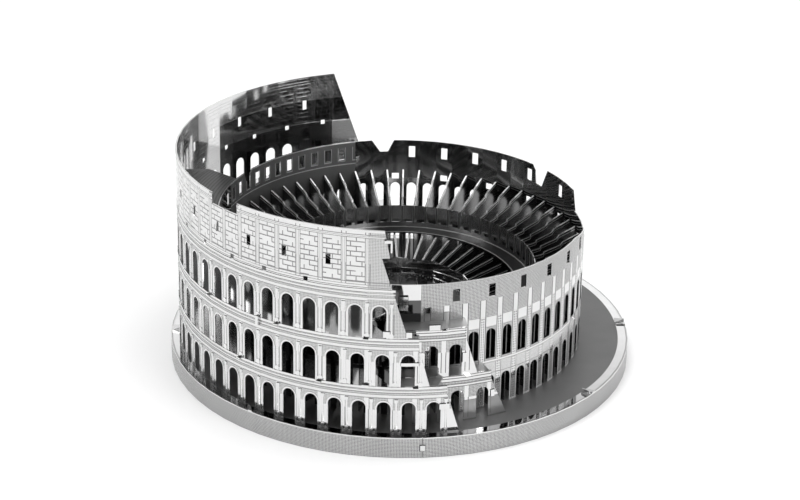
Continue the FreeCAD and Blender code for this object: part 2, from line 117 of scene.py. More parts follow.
@dataclass(frozen=True)
class Plan:
    """Levels and insets shared by the sub-assemblies."""

    sheet: float = 0.25
    bay: float = 360.0 / 64
    plinth_top: float = 4.95
    storey: float = 11.6
    floor_2: float = 16.4
    floor_3: float = 28.0
    attic_foot: float = 39.6
    outer_top: float = 53.3
    inner_top: float = 36.9
    outer_inset: float = 2.2
    outer_phase: float = 265.3
    middle_inset: float = 7.1
    inner_inset: float = 12.0
    right_phase: float = 277.91
    back_phase: float = -6.11
    left_phase: float = 108.74
    left_pitch: float = (276.0 - 108.74) / 33
    middle_phase: float = 268.7
    middle_pitch: float = 6.4
    podium_inset: float = 23.42
    arena_inset: float = 37.65
    arch_rise: float = 7.65


def read_oval() -> Oval:
    """Half-axes of the plinth, read from the frame."""
    low, high = CAD_BOX
    return Oval((high[0] - low[0]) / 2 / MM, (high[1] - low[1]) / 2 / MM)


OVAL = read_oval()
PLAN = Plan()


# --------------------------------------------------------------------------- node helpers
class Wire:
    """A number in a node tree; arithmetic on it adds Math nodes."""

    def __init__(self, tree: bpy.types.NodeTree, socket: bpy.types.NodeSocket) -> None:
        """Keep the tree and the socket that carries the number."""
        self.tree = tree
        self.socket = socket

    def op(self, kind: str, *others: "Wire | float") -> "Wire":
        """Add a Math node fed by this wire and others.

        Args:
            kind: the Math node's operation.
            others: further operands.

        Returns:
            The node's result.
        """
        return join(self.tree, kind, self, *others)

    def __add__(self, other: "Wire | float") -> "Wire":
        """Sum."""
        return self.op("ADD", other)

    def __sub__(self, other: "Wire | float") -> "Wire":
        """Difference."""
        return self.op("SUBTRACT", other)

    def __rsub__(self, other: float) -> "Wire":
        """Number minus this."""
        return join(self.tree, "SUBTRACT", other, self)

    def __mul__(self, other: "Wire | float") -> "Wire":
        """Product."""
        return self.op("MULTIPLY", other)

    def __truediv__(self, other: "Wire | float") -> "Wire":
        """Quotient."""
        return self.op("DIVIDE", other)

    def __mod__(self, other: "Wire | float") -> "Wire":
        """Floored remainder."""
        return self.op("FLOORED_MODULO", other)

    def __gt__(self, other: "Wire | float") -> "Wire":
        """1 where this is greater."""
        return self.op("GREATER_THAN", other)

    def __lt__(self, other: "Wire | float") -> "Wire":
        """1 where this is less."""
        return self.op("LESS_THAN", other)

    def __or__(self, other: "Wire | float") -> "Wire":
        """Either mask."""
        return self.op("MAXIMUM", other)

    def __and__(self, other: "Wire | float") -> "Wire":
        """Both masks."""
        return self.op("MULTIPLY", other)

    def off(self) -> "Wire":
        """The opposite mask."""
        return 1.0 - self

    def magnitude(self) -> "Wire":
        """Absolute value."""
        return self.op("ABSOLUTE")

    def between(self, low: "Wire | float", high: "Wire | float") -> "Wire":
        """1 inside the range."""
        return (self > low) & (self < high)


def join(tree: bpy.types.NodeTree, kind: str, *values: "Wire | float") -> Wire:
    """Add a Math node with any mix of wires and numbers.

    Args:
        tree: the tree it goes in.
        kind: the Math node's operation.
        values: its operands.

    Returns:
        The node's result.
    """
    node = tree.nodes.new("ShaderNodeMath")
    node.operation = kind
    for slot, value in enumerate(values):
        if isinstance(value, Wire):
            tree.links.new(value.socket, node.inputs[slot])
        else:
            node.inputs[slot].default_value = value
    return Wire(tree, node.outputs[0])


def axes(tree: bpy.types.NodeTree, space: str) -> tuple[Wire, Wire, Wire]:
    """Coordinates in a texture space.

    Args:
        tree: the tree they are wanted in.
        space: the space's name.

    Returns:
        X, Y and Z.
    """
    place = tree.nodes.new("ShaderNodeTexCoord")
    split = tree.nodes.new("ShaderNodeSeparateXYZ")
    tree.links.new(place.outputs[space], split.inputs[0])
    x, y, z = (Wire(tree, split.outputs[k]) for k in range(3))
    return x, y, z


class ShaderGroup:
    """A shader node group with named inputs and outputs."""

    def __init__(self, name: str, inputs: dict[str, float], outputs: dict[str, str]) -> None:
        """Make the empty group.

        Args:
            name: the group's name.
            inputs: name and default of each number.
            outputs: name and socket type of each result.
        """
        self.tree = bpy.data.node_groups.new(name, "ShaderNodeTree")
        for label, value in inputs.items():
            socket = self.tree.interface.new_socket(label, in_out="INPUT",
                                                    socket_type="NodeSocketFloat")
            socket.default_value = value
        for label, kind in outputs.items():
            self.tree.interface.new_socket(label, in_out="OUTPUT", socket_type=kind)
        self.given = self.tree.nodes.new("NodeGroupInput")
        self.result = self.tree.nodes.new("NodeGroupOutput")

    def value(self, label: str) -> Wire:
        """The wire of a named input."""
        return Wire(self.tree, self.given.outputs[label])

    def put(self, label: str, wire: Wire) -> None:
        """Connect a result."""
        self.tree.links.new(wire.socket, self.result.inputs[label])


def make_bays_group() -> bpy.types.NodeTree:
    """Place on a wall: distance from the bay's middle and edge, bay number, height and facing.

    Returns:
        The group's tree.
    """
    numbers = ("Along", "Edge", "Bay", "Height", "Arc", "Outside", "Inside")
    group = ShaderGroup("wall_bays",
                        {"Half Width": OVAL.half_width, "Half Depth": OVAL.half_depth,
                         "Phase": 0.0, "Pitch": PLAN.bay, "Smoothing": 1.0},
                        {label: "NodeSocketFloat" for label in numbers}
                        | {"Normal": "NodeSocketVector"})
    tree = group.tree
    half_width, half_depth = group.value("Half Width"), group.value("Half Depth")
    x, y, z = axes(tree, "Object")
    nx = x / MM / half_width
    ny = y / MM / half_depth
    height = z / MM
    degrees = (ny.op("ARCTAN2", nx) * math.degrees(1.0)) % 360.0
    turn = ((degrees - group.value("Phase")) % 360.0) / group.value("Pitch")
    bay = turn.op("FLOOR")
    fraction = turn - bay - 0.5
    swing = (half_width * ny).op("POWER", 2.0) + (half_depth * nx).op("POWER", 2.0)
    length = swing.op("SQRT") * group.value("Pitch") / math.degrees(1.0)
    group.put("Along", fraction * length)
    group.put("Edge", (0.5 - fraction.magnitude()) * length)
    group.put("Bay", bay)
    group.put("Height", height)
    spread = half_width.op("POWER", 2.0) + half_depth.op("POWER", 2.0)
    stretch = (half_depth.op("POWER", 2.0) - half_width.op("POWER", 2.0)) / spread / 4.0
    radians = degrees / math.degrees(1.0)
    travelled = radians + stretch * (radians * 2.0).op("SINE")
    group.put("Arc", (spread / 2.0).op("SQRT") * travelled)
    radial = tree.nodes.new("ShaderNodeCombineXYZ")
    tree.links.new((nx / half_width).socket, radial.inputs[0])
    tree.links.new((ny / half_depth).socket, radial.inputs[1])
    unit = tree.nodes.new("ShaderNodeVectorMath")
    unit.operation = "NORMALIZE"
    tree.links.new(radial.outputs[0], unit.inputs[0])
    flat = tree.nodes.new("ShaderNodeNewGeometry")
    dot = tree.nodes.new("ShaderNodeVectorMath")
    dot.operation = "DOT_PRODUCT"
    tree.links.new(unit.outputs[0], dot.inputs[0])
    tree.links.new(flat.outputs["Normal"], dot.inputs[1])
    facing = Wire(tree, dot.outputs["Value"])
    outside, inside = facing > SQUARE_ON, facing < -SQUARE_ON
    group.put("Outside", outside)
    group.put("Inside", inside)
    signed = tree.nodes.new("ShaderNodeVectorMath")
    signed.operation = "SCALE"
    tree.links.new(unit.outputs[0], signed.inputs[0])
    tree.links.new(facing.op("SIGN").socket, signed.inputs["Scale"])
    blend = tree.nodes.new("ShaderNodeMix")
    blend.data_type = "VECTOR"
    tree.links.new(((outside | inside) & group.value("Smoothing")).socket, blend.inputs[0])
    tree.links.new(flat.outputs["Normal"], blend.inputs[4])
    tree.links.new(signed.outputs[0], blend.inputs[5])
    tree.links.new(blend.outputs[1], group.result.inputs["Normal"])
    return tree


def make_hatch_group() -> bpy.types.NodeTree:
    """Fine diagonal crosshatch: 1 in the etched diamonds.

    Returns:
        The group's tree.
    """
    group = ShaderGroup("crosshatch", {"Across": 0.0, "Up": 0.0, "Spacing": 0.5, "Fill": 0.5},
                        {"Mask": "NodeSocketFloat"})
    across, up, spacing = group.value("Across"), group.value("Up"), group.value("Spacing")
    wave_a = ((across + up) / spacing) % 1.0
    wave_b = ((across - up) / spacing) % 1.0
    lines_a = wave_a < group.value("Fill")
    lines_b = wave_b < group.value("Fill")
    group.put("Mask", (lines_a - lines_b).magnitude())
    return group.tree


def make_grain_group() -> bpy.types.NodeTree:
    """Rolling grain and handling marks of thin sheet, as a value round one half and a smear.

    Returns:
        The group's tree.
    """
    group = ShaderGroup("sheet_grain", {"Across": 0.0, "Up": 0.0, "Seed": 0.0},
                        {"Grain": "NodeSocketFloat", "Smear": "NodeSocketFloat"})
    tree = group.tree
    for label, sizes, detail in (("Grain", (1.2, 26.0), 3.0), ("Smear", (0.12, 0.16), 2.0)):
        spot = tree.nodes.new("ShaderNodeCombineXYZ")
        tree.links.new((group.value("Across") * sizes[0]).socket, spot.inputs[0])
        tree.links.new((group.value("Up") * sizes[1]).socket, spot.inputs[1])
        tree.links.new(group.value("Seed").socket, spot.inputs[2])
        noise = tree.nodes.new("ShaderNodeTexNoise")
        noise.inputs["Scale"].default_value = 1.0
        noise.inputs["Detail"].default_value = detail
        tree.links.new(spot.outputs[0], noise.inputs["Vector"])
        tree.links.new(noise.outputs["Fac"], group.result.inputs[label])
    return tree


GROUPS = {"bays": make_bays_group(), "hatch": make_hatch_group(), "grain": make_grain_group()}


# --------------------------------------------------------------------------- finishes
Band = tuple[float, float]
Masks = tuple[Wire, Wire]
TOP = 99.0                   # above everything
MIN_ROUGH = 0.02


def group_node(tree: bpy.types.NodeTree, key: str, values: dict[str, float],
               wires: dict[str, Wire]) -> bpy.types.Node:
    """Use one of the shader groups in a tree.

    Args:
        tree: the material's tree.
        key: which group.
        values: plain inputs.
        wires: connected inputs.

    Returns:
        The group node.
    """
    node = tree.nodes.new("ShaderNodeGroup")
    node.node_tree = GROUPS[key]
    for label, value in values.items():
        node.inputs[label].default_value = value
    for label, wire in wires.items():
        tree.links.new(wire.socket, node.inputs[label])
    return node


def start_metal(name: str) -> tuple[bpy.types.Material, bpy.types.NodeTree, bpy.types.Node]:
    """Start a metallic material.

    Args:
        name: the material's name.

    Returns:
        The material, its tree and its Principled node.
    """
    made = bpy.data.materials.new(name)
    made.use_nodes = True
    bsdf = made.node_tree.nodes["Principled BSDF"]
    bsdf.inputs["Metallic"].default_value = 1.0
    return made, made.node_tree, bsdf


def grey_of(tree: bpy.types.NodeTree, tone: Wire) -> bpy.types.NodeSocket:
    """Grey colour of a given lightness.

    Args:
        tree: the material's tree.
        tone: the lightness.

    Returns:
        The colour's socket.
    """
    colour = tree.nodes.new("ShaderNodeCombineColor")
    for slot in range(3):
        tree.links.new(tone.socket, colour.inputs[slot])
    return colour.outputs[0]


def link_roughness(bsdf: bpy.types.Node, rough: Wire, grain: bpy.types.Node, swing: float) -> None:
    """Set a roughness that varies a little with the grain.

    Args:
        bsdf: the Principled node.
        rough: the mean roughness.
        grain: the grain group's node.
        swing: how much it varies.
    """
    varied = rough + (Wire(rough.tree, grain.outputs["Grain"]) - 0.5) * swing
    rough.tree.links.new(varied.op("MAXIMUM", MIN_ROUGH).socket, bsdf.inputs["Roughness"])


def link_bump(bsdf: bpy.types.Node, height: Wire, strength: float, relief: float) -> bpy.types.Node:
    """Add the shallow relief of an etched pattern.

    Args:
        bsdf: the Principled node.
        height: the relief's height, from 0 to 1.
        strength: strength of the relief.
        relief: its depth in millimetres.

    Returns:
        The Bump node.
    """
    bump = height.tree.nodes.new("ShaderNodeBump")
    bump.inputs["Strength"].default_value = strength
    bump.inputs["Distance"].default_value = relief * MM
    height.tree.links.new(height.socket, bump.inputs["Height"])
    height.tree.links.new(bump.outputs[0], bsdf.inputs["Normal"])
    return bump


def any_band(value: Wire, bands: tuple[Band, ...]) -> Wire:
    """1 where a value lies in any of the bands.

    Args:
        value: the number to test.
        bands: lower and upper end of each band.

    Returns:
        The mask.
    """
    mask = value.between(*bands[0])
    for low, high in bands[1:]:
        mask = mask | value.between(low, high)
    return mask


@dataclass(frozen=True)
class FacadeEtching:
    """Heights, widths and courses of the outer facade's pattern."""

    foot: float = 4.8
    cornice: tuple[Band, ...] = ((8.75, 8.9), (9.3, 9.5), (10.05, 10.2), (10.75, 10.95),
                                 (11.35, 11.55))
    frieze: Band = (9.5, 10.05)
    spandrel: Band = (5.9, 8.75)
    spandrel_edge: float = 0.5
    pier: Band = (0.9, 5.9)
    pier_edge: Band = (0.42, 0.62)
    storeys_top: float = PLAN.attic_foot + 0.2
    attic: Band = (41.2, 51.4)
    course: float = 1.15
    bed: float = 0.2
    block: float = 2.6
    stagger: float = 1.3
    joint: float = 0.09
    scatter: tuple[float, float, float] = (3.0, 5.0, 2.0)
    scatter_span: float = 7.0
    fallen: float = 0.9
    masonry_edge: float = 0.62
    pilaster: tuple[Band, ...] = ((0.5, 0.66), (0.18, 0.26))
    broken_bays: Band = (-0.5, 6.5)
    broken_foot: float = 28.2
    # The band up to 5.25 is the etched line at the wall's foot together with painted shade of the
    # gap under it.
    trims: tuple[Band, ...] = ((39.9, 40.05), (40.5, 40.62), (41.05, 41.2), (-1.0, 5.25),
                               (51.4, 51.55), (52.1, 52.25), (53.0, TOP))

    def masonry(self, wire: dict[str, Wire]) -> Wire:
        """Joints of the attic's blocks, with some left out.

        Args:
            wire: the place on the wall.

        Returns:
            The mask of the joints.
        """
        row = (wire["Height"] - self.attic[0]) / self.course
        course = row.op("FLOOR")
        bed = (row - course) < self.bed
        start = 20 * self.block
        run = (wire["Along"] + (course % 2.0) * self.stagger + start) / self.block
        block = run.op("FLOOR")
        joint = (run - block) < self.joint
        by_block, by_course, by_bay = self.scatter
        mixed = block * by_block + course * by_course + wire["Bay"] * by_bay
        fallen = (mixed % self.scatter_span) < self.fallen
        field = wire["Height"].between(*self.attic) & (wire["Edge"] > self.masonry_edge)
        return field & (bed | joint) & fallen.off()

    def masks(self, wire: dict[str, Wire]) -> Masks:
        """Etched lines and hatched fields.

        Args:
            wire: the place on the wall.

        Returns:
            The mask of the lines and the mask of the fields.
        """
        height, edge, bay = wire["Height"], wire["Edge"], wire["Bay"]
        level = (height - self.foot) % PLAN.storey
        storeys = height < self.storeys_top
        lines = any_band(level, self.cornice) & storeys
        spandrel = level.between(*self.spandrel) & (edge > self.spandrel_edge)
        pier = level.between(*self.pier) & edge.between(*self.pier_edge)
        pilaster = height.between(*self.attic) & any_band(edge, self.pilaster)
        broken = bay.between(*self.broken_bays) & (height > self.broken_foot)
        attic = self.masonry(wire) | pilaster
        line = (((lines | attic) & broken.off()) | any_band(height, self.trims)) | pier
        return line, ((level.between(*self.frieze) | spandrel) & storeys) | broken


@dataclass(frozen=True)
class InnerEtching:
    """Heights and widths of the inner wall's pattern, outside and inside."""

    pier_edge: float = 0.62
    pier_top: float = 27.3
    stone: float = 0.62
    stone_edge: Band = (0.12, 0.4)
    head: Band = (27.3, 31.5)
    half_light: float = 1.35
    light: Band = (24.9, 27.2)
    sill: Band = (12.7, 13.2)
    rail: Band = (15.9, 16.3)
    fields: tuple[Band, ...] = ((13.2, 15.8), (5.3, 13.05))
    upper: Band = (16.3, 27.3)
    outline: Band = (0.62, 0.78)
    lines: tuple[Band, ...] = ((15.8, 15.95), (13.05, 13.2))
    inside_lines: tuple[Band, ...] = ((30.7, 31.0), (PLAN.inner_top - 0.25, TOP))
    frame_sill: Band = (31.7, 32.0)
    frame_reach: float = 1.1
    frame_side: Band = (31.9, 35.6)
    frame_edge: Band = (0.93, 1.12)

    def masks(self, wire: dict[str, Wire]) -> Masks:
        """Rusticated pilasters, hatched attic and panels, polished heads.

        Args:
            wire: the place on the wall.

        Returns:
            The mask of the lines and the mask of the fields.
        """
        height, edge, along = wire["Height"], wire["Edge"], wire["Along"].magnitude()
        post = edge < self.pier_edge
        pier = post & (height < self.pier_top)
        stones = ((height / self.stone) % 1.0 < 0.5) & edge.between(*self.stone_edge)
        attic = (height > self.pier_top) & (post & height.between(*self.head)).off()
        middle = along < self.half_light
        light, sill = (height.between(*band) & middle for band in (self.light, self.sill))
        panels = any_band(height, self.fields) & pier.off()
        upper = height.between(*self.upper) & pier.off() & light.off()
        outline = edge.between(*self.outline) & (height < self.head[1])
        lines = (stones & pier) | outline | any_band(height, self.lines)
        return lines & height.between(*self.rail).off(), attic | panels | (upper & sill.off())

    def bright(self, wire: dict[str, Wire]) -> Wire:
        """Bright lines and window frames on the inside.

        Args:
            wire: the place on the wall.

        Returns:
            Their mask.
        """
        height, along = wire["Height"], wire["Along"].magnitude()
        sill = height.between(*self.frame_sill) & (along < self.frame_reach)
        side = height.between(*self.frame_side) & along.between(*self.frame_edge)
        return any_band(height, self.inside_lines) | sill | side


@dataclass(frozen=True)
class PaintedReflection:
    """Painted reflection inside the back end of the outer wall: a dark band, with one lighter patch
    where a panel is reflected.
    """

    bays: Band = (33.5, 43.5)
    top: float = 46.6
    reflected_panel_bay: float = 36.5
    reflected_panel_top: float = 40.4
    dark: float = 0.68
    darker: float = 0.22
    reflected_panel_dark: float = 0.35

    def shade(self, tone: Wire, wire: dict[str, Wire]) -> Wire:
        """Darken a tone with the painted reflection.

        Args:
            tone: the tone so far.
            wire: the place on the wall.

        Returns:
            The darker tone.
        """
        # Painted reflection: a dark band over the far bays, darker below the reflected panel's top,
        # and a lighter patch where the panel is reflected.
        low = wire["Height"] < self.reflected_panel_top
        far = wire["Bay"].between(*self.bays) & (wire["Height"] < self.top) & wire["Inside"]
        panel = (wire["Bay"] < self.reflected_panel_bay) & low
        tone = tone * (1.0 - (far & panel.off()) * (low * self.darker + self.dark))
        return tone * (1.0 - (far & panel) * self.reflected_panel_dark)


FACADE_ETCHING = FacadeEtching()
INNER_ETCHING = InnerEtching()
PAINTED_REFLECTION = PaintedReflection()


class Trim(Enum):
    """How a sheet's upright faces are etched."""

    FACADE = "facade"
    INNER = "inner"
    SKIRT = "skirt"
    PLAIN = "plain"
    ARENA = "arena"

    def masks(self, wire: dict[str, Wire]) -> Masks:
        """Etched lines and hatched fields of this pattern.

        Args:
            wire: the place on the wall.

        Returns:
            The mask of the lines and the mask of the fields.
        """
        if self is Trim.FACADE:
            return FACADE_ETCHING.masks(wire)
        if self is Trim.INNER:
            return INNER_ETCHING.masks(wire)
        none = wire["Height"] < -TOP
        if self is Trim.SKIRT:
            return none, wire["Height"] < PLAN.plinth_top - 0.3
        return none, wire["Height"] > 0.0 if self is Trim.ARENA else none


@dataclass(frozen=True)
class Steel:
    """Stainless sheet: polished where it was masked, matte where it was etched."""

    name: str
    trim: Trim = Trim.PLAIN
    inset: float = 0.0
    phase: float = 0.0
    pitch: float = PLAN.bay
    polished: float = 0.72
    etched: float = 0.42
    polish: float = 0.07
    matte: float = 0.42
    inside_matte: bool = False
    smoothing: float = 0.8
    relief: float = 0.05
    bump: float = 0.35
    field_relief: float = 0.6
    hatch: float = 0.68
    hatch_fill: float = 0.3
    line_shade: float = 0.5
    seed: float = 1.0
    smear: float = 0.16
    grain_swing: float = 0.08
    # Painted reflection inside the back end of the outer wall.
    painted_reflection: bool = False
    inside_gain: float = 1.9
    # Painted shade: the outer face is darkened below floor 3, and below shade_below in the bays
    # past shade_bay.
    shade_below: float = 0.0
    shade_bay: float = 30.5
    shade: float = 0.85
    matte_below: float = 0.0
    # Below soft_and_painted_light_below the etched parts are made less metallic, and their colour
    # is lightened by painted_light_gain as painted light.
    soft_and_painted_light_below: float = 0.0
    painted_light_gain: float = 1.3
    soft_metal: float = 0.8

    def tone(self, wire: dict[str, Wire], line: Wire, matte: Wire, smear: Wire) -> Wire:
        """Lightness over the sheet, about 1, with the painted shade, painted reflection and painted
        light that the options call for.

        Args:
            wire: the place on the wall.
            line: mask of the etched lines.
            matte: mask of all etched parts.
            smear: slow variation of the sheet.

        Returns:
            The factor for the sheet's colour.
        """
        tone = smear * self.smear + (1.0 - self.smear / 2)
        tone = tone * (1.0 - (line & wire["Outside"]) * self.line_shade)
        if self.inside_matte:
            tone = tone * ((INNER_ETCHING.bright(wire) & wire["Inside"]) * self.inside_gain + 1.0)
        # Painted reflection: dark band and reflected panel inside the back end.
        if self.painted_reflection:
            tone = PAINTED_REFLECTION.shade(tone, wire)
        # Painted shade on the outer face: below floor 3 everywhere, and below shade_below in the
        # bays past shade_bay.
        if self.shade_below:
            deep = (wire["Height"] < self.shade_below) & (wire["Bay"] > self.shade_bay)
            shaded = wire["Outside"] & (deep | (wire["Height"] < PLAN.floor_3))
            tone = tone * (1.0 - shaded * self.shade)
        # Painted light: etched parts below soft_and_painted_light_below are lightened.
        if self.soft_and_painted_light_below:
            tone = tone * ((matte & (wire["Height"] < self.soft_and_painted_light_below)) * self.painted_light_gain + 1.0)
        return tone

    def material(self) -> bpy.types.Material:
        """Build the node material.

        Returns:
            The finished material.
        """
        made, tree, bsdf = start_metal(self.name)
        bays = group_node(tree, "bays", {"Half Width": OVAL.half_width - self.inset,
                                         "Half Depth": OVAL.half_depth - self.inset,
                                         "Phase": self.phase % 360.0, "Pitch": self.pitch,
                                         "Smoothing": self.smoothing}, {})
        wire = {label: Wire(tree, bays.outputs[label])
                for label in ("Along", "Edge", "Bay", "Height", "Arc", "Outside", "Inside")}
        place = {"Across": wire["Arc"], "Up": wire["Height"]}
        crossed = Wire(tree, group_node(tree, "hatch", {"Spacing": self.hatch}, place).outputs[0])
        grain = group_node(tree, "grain", {"Seed": self.seed}, place)
        line, fields = self.trim.masks(wire)
        matte = line | (fields & (crossed * (1.0 - self.hatch_fill) + self.hatch_fill))
        if self.matte_below:
            matte = matte | (wire["Height"] < self.matte_below)
        matte = matte & wire["Outside"]
        if self.inside_matte:
            matte = matte | wire["Inside"]
        if self.soft_and_painted_light_below:
            soft = matte & (wire["Height"] < self.soft_and_painted_light_below)
            tree.links.new((1.0 - soft * self.soft_metal).socket, bsdf.inputs["Metallic"])
        grey = matte * (self.etched - self.polished) + self.polished
        tone = self.tone(wire, line, matte, Wire(tree, grain.outputs["Smear"]))
        tree.links.new(grey_of(tree, grey * tone), bsdf.inputs["Base Color"])
        link_roughness(bsdf, matte * (self.matte - self.polish) + self.polish, grain,
                       self.grain_swing)
        bump = link_bump(bsdf, line | (matte * self.field_relief), self.bump, self.relief)
        bump.invert = True
        tree.links.new(bays.outputs["Normal"], bump.inputs["Normal"])
        return made


@dataclass(frozen=True)
class PlateFinish:
    """Flat sheet lying level: matte inside an oval line, polished outside it."""

    name: str
    line_inset: float
    polished: float = 0.85
    etched: float = 0.36
    polish: float = 0.05
    matte: float = 0.5
    hatch: float = 0.5
    hatch_shade: float = 0.12
    smear: float = 0.2
    grain_swing: float = 0.06
    bump: float = 0.15
    relief: float = 0.02
    rows: float = 0.0
    row_width: float = 0.3
    row_shade: float = 0.45

    def material(self) -> bpy.types.Material:
        """Build the node material.

        Returns:
            The finished material.
        """
        made, tree, bsdf = start_metal(self.name)
        x, y, _ = (axis / MM for axis in axes(tree, "Object"))
        half_width = OVAL.half_width - self.line_inset
        half_depth = OVAL.half_depth - self.line_inset
        reach = (x / half_width).op("POWER", 2.0) + (y / half_depth).op("POWER", 2.0)
        matte = reach < 1.0
        place = {"Across": x, "Up": y}
        grain = group_node(tree, "grain", {}, place)
        crossed = Wire(tree, group_node(tree, "hatch", {"Spacing": self.hatch}, place).outputs[0])
        grey = matte * (self.etched - self.polished) + self.polished
        grey = grey * (1.0 - matte * crossed * self.hatch_shade)
        grey = grey * (Wire(tree, grain.outputs["Smear"]) * self.smear + (1.0 - self.smear / 2))
        if self.rows:
            stripe = (reach.op("SQRT") * half_width / self.rows) % 1.0
            grey = grey * (1.0 - (stripe < self.row_width) * self.row_shade)
        tree.links.new(grey_of(tree, grey), bsdf.inputs["Base Color"])
        link_roughness(bsdf, matte * (self.matte - self.polish) + self.polish, grain,
                       self.grain_swing)
        link_bump(bsdf, crossed & matte, self.bump, self.relief)
        return made


# --------------------------------------------------------------------------- making pieces
def dress(node: str, material: bpy.types.Material) -> None:
    """Put a material in every slot of a frame node.

    Args:
        node: the node's name.
        material: the finish.
    """
    target = NODES[node]
    if not target.material_slots:
        target.data.materials.append(material)
    for slot in target.material_slots:
        slot.material = material


def add_object(name: str, data: bpy.types.ID) -> bpy.types.Object:
    """Make an object and put it in the scene.

    Args:
        name: the object's name.
        data: its mesh, light or camera.

    Returns:
        The new object.
    """
    made = bpy.data.objects.new(name, data)
    bpy.context.scene.collection.objects.link(made)
    return made


def ride_piece(name: str, data: bpy.types.Mesh) -> None:
    """Let a finished mesh ride on the model as a piece.

    Args:
        name: the piece's name.
        data: its mesh.
    """
    made = add_object(name, data)
    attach(made, "root")
    LOG.info("%s: %d faces", name, len(data.polygons))


class Solids:
    """Collects small closed blocks into one mesh."""

    def __init__(self) -> None:
        """Start with nothing."""
        self.verts: list[Vector] = []
        self.faces: list[tuple[int, ...]] = []

    def prism(self, lower: list[Vector], upper: list[Vector]) -> None:
        """Add a closed solid between two outlines that turn the same way.

        Args:
            lower: outline seen clockwise from above the solid's far side.
            upper: matching outline.
        """
        base, n = len(self.verts), len(lower)
        self.verts += lower + upper
        self.faces.append(tuple(base + k for k in reversed(range(n))))
        self.faces.append(tuple(base + n + k for k in range(n)))
        for k in range(n):
            j = (k + 1) % n
            self.faces.append((base + k, base + j, base + n + j, base + n + k))

    def band(self, path: list[Vector], outs: list[Vector], z0: float, z1: float,
             proud: float) -> None:
        """Add a thin strip that follows a wall.

        Args:
            path: points on the wall's face.
            outs: outward direction at each point.
            z0: lower edge.
            z1: upper edge.
            proud: how far it stands out.
        """
        rows = [[p + o * out + Vector((0, 0, z)) for p, o in zip(path, outs)]
                for out in (-SUNK, proud) for z in (z0, z1)]
        base, n = len(self.verts), len(path)
        for row in rows:
            self.verts += row
        back_low, back_high, front_low, front_high = (base + n * r for r in range(4))
        for k in range(n - 1):
            for a, b in ((front_low, front_high), (front_high, back_high),
                         (back_high, back_low), (back_low, front_low)):
                self.faces.append((a + k, a + k + 1, b + k + 1, b + k))
        for k, flip in ((0, False), (n - 1, True)):
            ring = (front_low + k, front_high + k, back_high + k, back_low + k)
            self.faces.append(ring[::-1] if flip else ring)

    def box(self, x: Band, y: Band, z: Band) -> None:
        """Add an upright block.

        Args:
            x: its two ends along the wall.
            y: its two ends across the wall.
            z: its foot and its top.
        """
        lower = [Vector((x[0], y[0], z[0])), Vector((x[1], y[0], z[0])),
                 Vector((x[1], y[1], z[0])), Vector((x[0], y[1], z[0]))]
        self.prism(lower, [v + Vector((0, 0, z[1] - z[0])) for v in lower])

    def mesh(self, name: str) -> bpy.types.Mesh:
        """All blocks as one mesh, in metres.

        Args:
            name: the mesh's name.

        Returns:
            The mesh.
        """
        data = bpy.data.meshes.new(name)
        data.from_pydata([tuple(v * MM) for v in self.verts], [], self.faces)
        return data

    def piece(self, name: str, material: bpy.types.Material) -> None:
        """Make the blocks a piece of the model.

        Args:
            name: the piece's name.
            material: the finish.
        """
        data = self.mesh(name)
        data.materials.append(material)
        data.validate()
        ride_piece(name, data)


def copies_tree() -> bpy.types.NodeTree:
    """Geometry nodes: set a template on every point, turned by the point's own angle.

    Returns:
        The modifier's tree.
    """
    tree = bpy.data.node_groups.new("set_copies", "GeometryNodeTree")
    sockets = tree.interface
    sockets.new_socket("Geometry", in_out="INPUT", socket_type="NodeSocketGeometry")
    sockets.new_socket("Template", in_out="INPUT", socket_type="NodeSocketObject")
    sockets.new_socket("Finish", in_out="INPUT", socket_type="NodeSocketMaterial")
    sockets.new_socket("Geometry", in_out="OUTPUT", socket_type="NodeSocketGeometry")
    given = tree.nodes.new("NodeGroupInput")
    result = tree.nodes.new("NodeGroupOutput")
    template = tree.nodes.new("GeometryNodeObjectInfo")
    turn = tree.nodes.new("GeometryNodeInputNamedAttribute")
    turn.data_type = "FLOAT_VECTOR"
    turn.inputs["Name"].default_value = "turn"
    rotate = tree.nodes.new("FunctionNodeEulerToRotation")
    place = tree.nodes.new("GeometryNodeInstanceOnPoints")
    real = tree.nodes.new("GeometryNodeRealizeInstances")
    paint = tree.nodes.new("GeometryNodeSetMaterial")
    link = tree.links.new
    link(given.outputs["Template"], template.inputs["Object"])
    link(given.outputs["Geometry"], place.inputs["Points"])
    link(template.outputs["Geometry"], place.inputs["Instance"])
    link(turn.outputs["Attribute"], rotate.inputs[0])
    link(rotate.outputs[0], place.inputs["Rotation"])
    link(place.outputs[0], real.inputs[0])
    link(real.outputs[0], paint.inputs["Geometry"])
    link(given.outputs["Finish"], paint.inputs["Material"])
    link(paint.outputs[0], result.inputs["Geometry"])
    return tree


COPIES = copies_tree()


def set_copies(name: str, template: Solids, places: list[tuple[Vector, float]],
               material: bpy.types.Material) -> None:
    """Set copies of a template at places, with geometry nodes, as one piece.

    Args:
        name: the piece's name.
        template: the shape, its X along the wall, its -Y outwards and its Z up.
        places: point in millimetres and turn about Z in radians.
        material: the finish.
    """
    pattern = add_object(name + "_template", template.mesh(name + "_template"))
    points = bpy.data.meshes.new(name + "_points")
    points.from_pydata([tuple(p * MM) for p, _ in places], [], [])
    turns = points.attributes.new("turn", "FLOAT_VECTOR", "POINT")
    for item, (_, angle) in zip(turns.data, places):
        item.vector = (0, 0, angle)
    carrier = add_object(name + "_points", points)
    modifier = carrier.modifiers.new("copies", "NODES")
    modifier.node_group = COPIES
    keys = {item.name: item.identifier for item in COPIES.interface.items_tree
            if item.in_out == "INPUT"}
    modifier[keys["Template"]] = pattern
    modifier[keys["Finish"]] = material
    bpy.context.view_layer.update()
    seen = carrier.evaluated_get(bpy.context.evaluated_depsgraph_get())
    data = bpy.data.meshes.new_from_object(seen)
    carrier.modifiers.remove(modifier)
    for helper in (pattern, carrier):
        bpy.data.objects.remove(helper)
    data.name = name
    ride_piece(name, data)


